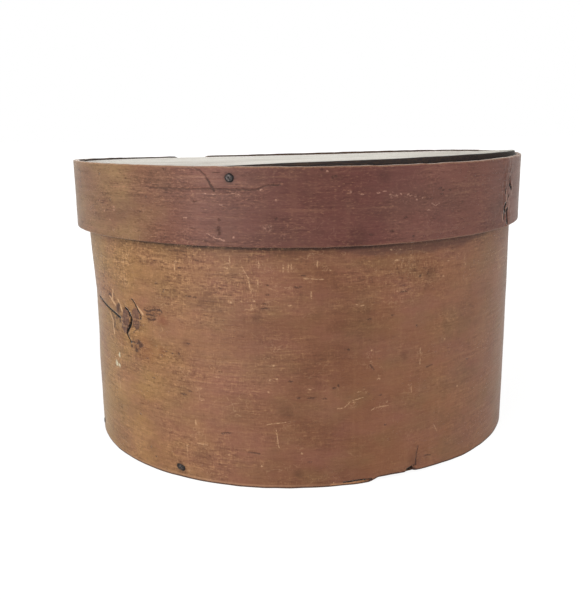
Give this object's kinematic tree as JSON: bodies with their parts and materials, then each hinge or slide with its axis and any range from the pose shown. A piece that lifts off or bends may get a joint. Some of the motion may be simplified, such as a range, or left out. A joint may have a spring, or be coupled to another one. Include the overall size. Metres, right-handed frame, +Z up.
{
  "type": "bentwood pantry box",
  "caption": "Round lidded box of bent and lapped wooden hoops nailed round wooden boards, with a deep lift-off lid.",
  "frame": {"origin": "centre of the box's foot, on the surface that it stands on", "axes": "+Z up along the hoops' axis, -Y towards the front that the picture shows, +X to the right of it"},
  "size_m": [0.2803, 0.28, 0.1708],
  "materials": {
    "lid_band_wood": "worn stained reddish brown, satin",
    "lid_board_wood": "worn brown, greyed by age, with a pale sheen",
    "base_band_wood": "worn warm brown, satin",
    "base_board_wood": "bare aged wood, matte",
    "nail_iron": "dark, worn and lightly rusted",
    "tack_iron": "dark and lightly rusted"
  },
  "bodies": {
    "base": {"base_band": "base_band_wood", "base_board": "base_board_wood", "base_board_nails": "nail_iron", "base_lap_tacks": "tack_iron"},
    "lid": {"lid_band": "lid_band_wood", "lid_board": "lid_board_wood", "lid_board_nails": "nail_iron", "lid_lap_tacks": "tack_iron"}
  },
  "joints": [
    {"name": "lid_lift", "type": "slide", "parent": "base", "child": "lid", "axis": [0, 0, 1], "range_m": [0, 0.19]}
  ]
}
